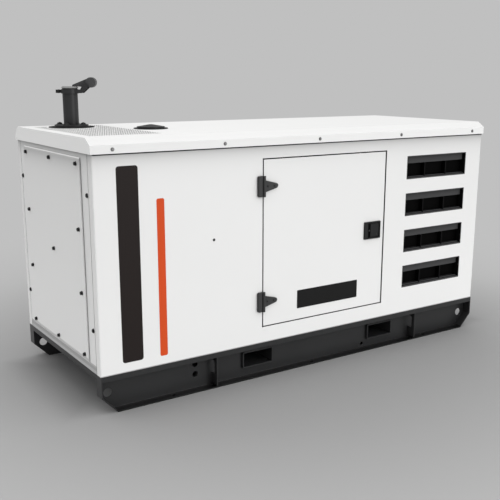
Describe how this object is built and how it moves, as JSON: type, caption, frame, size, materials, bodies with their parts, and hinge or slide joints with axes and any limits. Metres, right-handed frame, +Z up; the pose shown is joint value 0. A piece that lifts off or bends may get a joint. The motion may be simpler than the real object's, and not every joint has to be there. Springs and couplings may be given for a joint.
{
  "type": "canopied diesel generator",
  "caption": "Soundproof diesel generator housing on a dark skid base, with a hinged service door, side air louvres, a perforated roof outlet and an exhaust stack with a rain cap.",
  "frame": {"origin": "middle of the underside, on the floor", "axes": "+X along the length away from the exhaust end, -Y out of the service door, +Z up"},
  "size_m": [2.265, 0.933, 1.3813],
  "materials": {
    "canopy_paint": "satin powder coat",
    "base_paint": "satin dark grey powder coat",
    "acoustic_foam": "open cell foam with a black facing",
    "hinge_black": "moulded, fine texture",
    "latch_black": "moulded, fine texture",
    "louvre_plastic": "moulded, fine texture",
    "cap_plastic": "moulded",
    "gasket_rubber": "matt",
    "exhaust_steel": "heat resistant dark paint"
  },
  "bodies": {
    "canopy": {"front_skid_beam": "base_paint", "front_skid_ribs": "base_paint", "front_left_panel": "canopy_paint", "front_right_panel": "canopy_paint", "front_door_header": "canopy_paint", "front_door_sill": "canopy_paint", "front_left_lining": "acoustic_foam", "front_hinge_brackets": "hinge_black", "front_louvre_1": "louvre_plastic", "front_louvre_2": "louvre_plastic", "front_louvre_3": "louvre_plastic", "front_louvre_4": "louvre_plastic", "rear_skid_beam": "base_paint", "rear_skid_ribs": "base_paint", "rear_left_panel": "canopy_paint", "rear_right_panel": "canopy_paint", "rear_door_header": "canopy_paint", "rear_door_sill": "canopy_paint", "rear_left_lining": "acoustic_foam", "rear_door": "canopy_paint", "rear_door_lining": "acoustic_foam", "rear_hinge_brackets": "hinge_black", "rear_hinge_leaves": "hinge_black", "rear_latch_housing": "latch_black", "rear_latch_paddle": "latch_black", "rear_louvre_1": "louvre_plastic", "rear_louvre_2": "louvre_plastic", "rear_louvre_3": "louvre_plastic", "rear_louvre_4": "louvre_plastic", "base_deck": "base_paint", "fork_pocket_left": "base_paint", "fork_pocket_right": "base_paint", "left_end_frame": "canopy_paint", "right_end_frame": "canopy_paint", "left_end_cover": "canopy_paint", "right_end_cover": "canopy_paint", "left_end_seal": "gasket_rubber", "right_end_seal": "gasket_rubber", "left_end_lining": "acoustic_foam", "right_end_lining": "acoustic_foam", "roof": "canopy_paint", "roof_grille": "canopy_paint", "roof_lining": "acoustic_foam", "filler_cap": "cap_plastic", "exhaust_gasket": "gasket_rubber", "exhaust_stack": "exhaust_steel", "rain_cap_clamp": "exhaust_steel"},
    "front_door": {"front_door": "canopy_paint", "front_door_lining": "acoustic_foam", "front_hinge_leaves": "hinge_black", "front_latch_housing": "latch_black"},
    "latch_paddle": {"front_latch_paddle": "latch_black"},
    "rain_cap": {"rain_cap_lid": "exhaust_steel"}
  },
  "joints": [
    {"name": "door_hinge", "type": "hinge", "parent": "canopy", "child": "front_door", "pos_m": [-0.31375, -0.459, 0.639], "axis": [0, 0, -1], "range_deg": [0, 120]},
    {"name": "paddle_pivot", "type": "hinge", "parent": "front_door", "child": "latch_paddle", "pos_m": [0.38725, -0.45525, 0.639], "axis": [0, 0, 1], "range_deg": [0, 35], "stiffness_Nm_per_rad": 0.3},
    {"name": "rain_cap_hinge", "type": "hinge", "parent": "canopy", "child": "rain_cap", "pos_m": [-0.86284, 0.20638, 1.3425], "axis": [0.5592, 0.829, 0], "range_deg": [0, 65]}
  ]
}
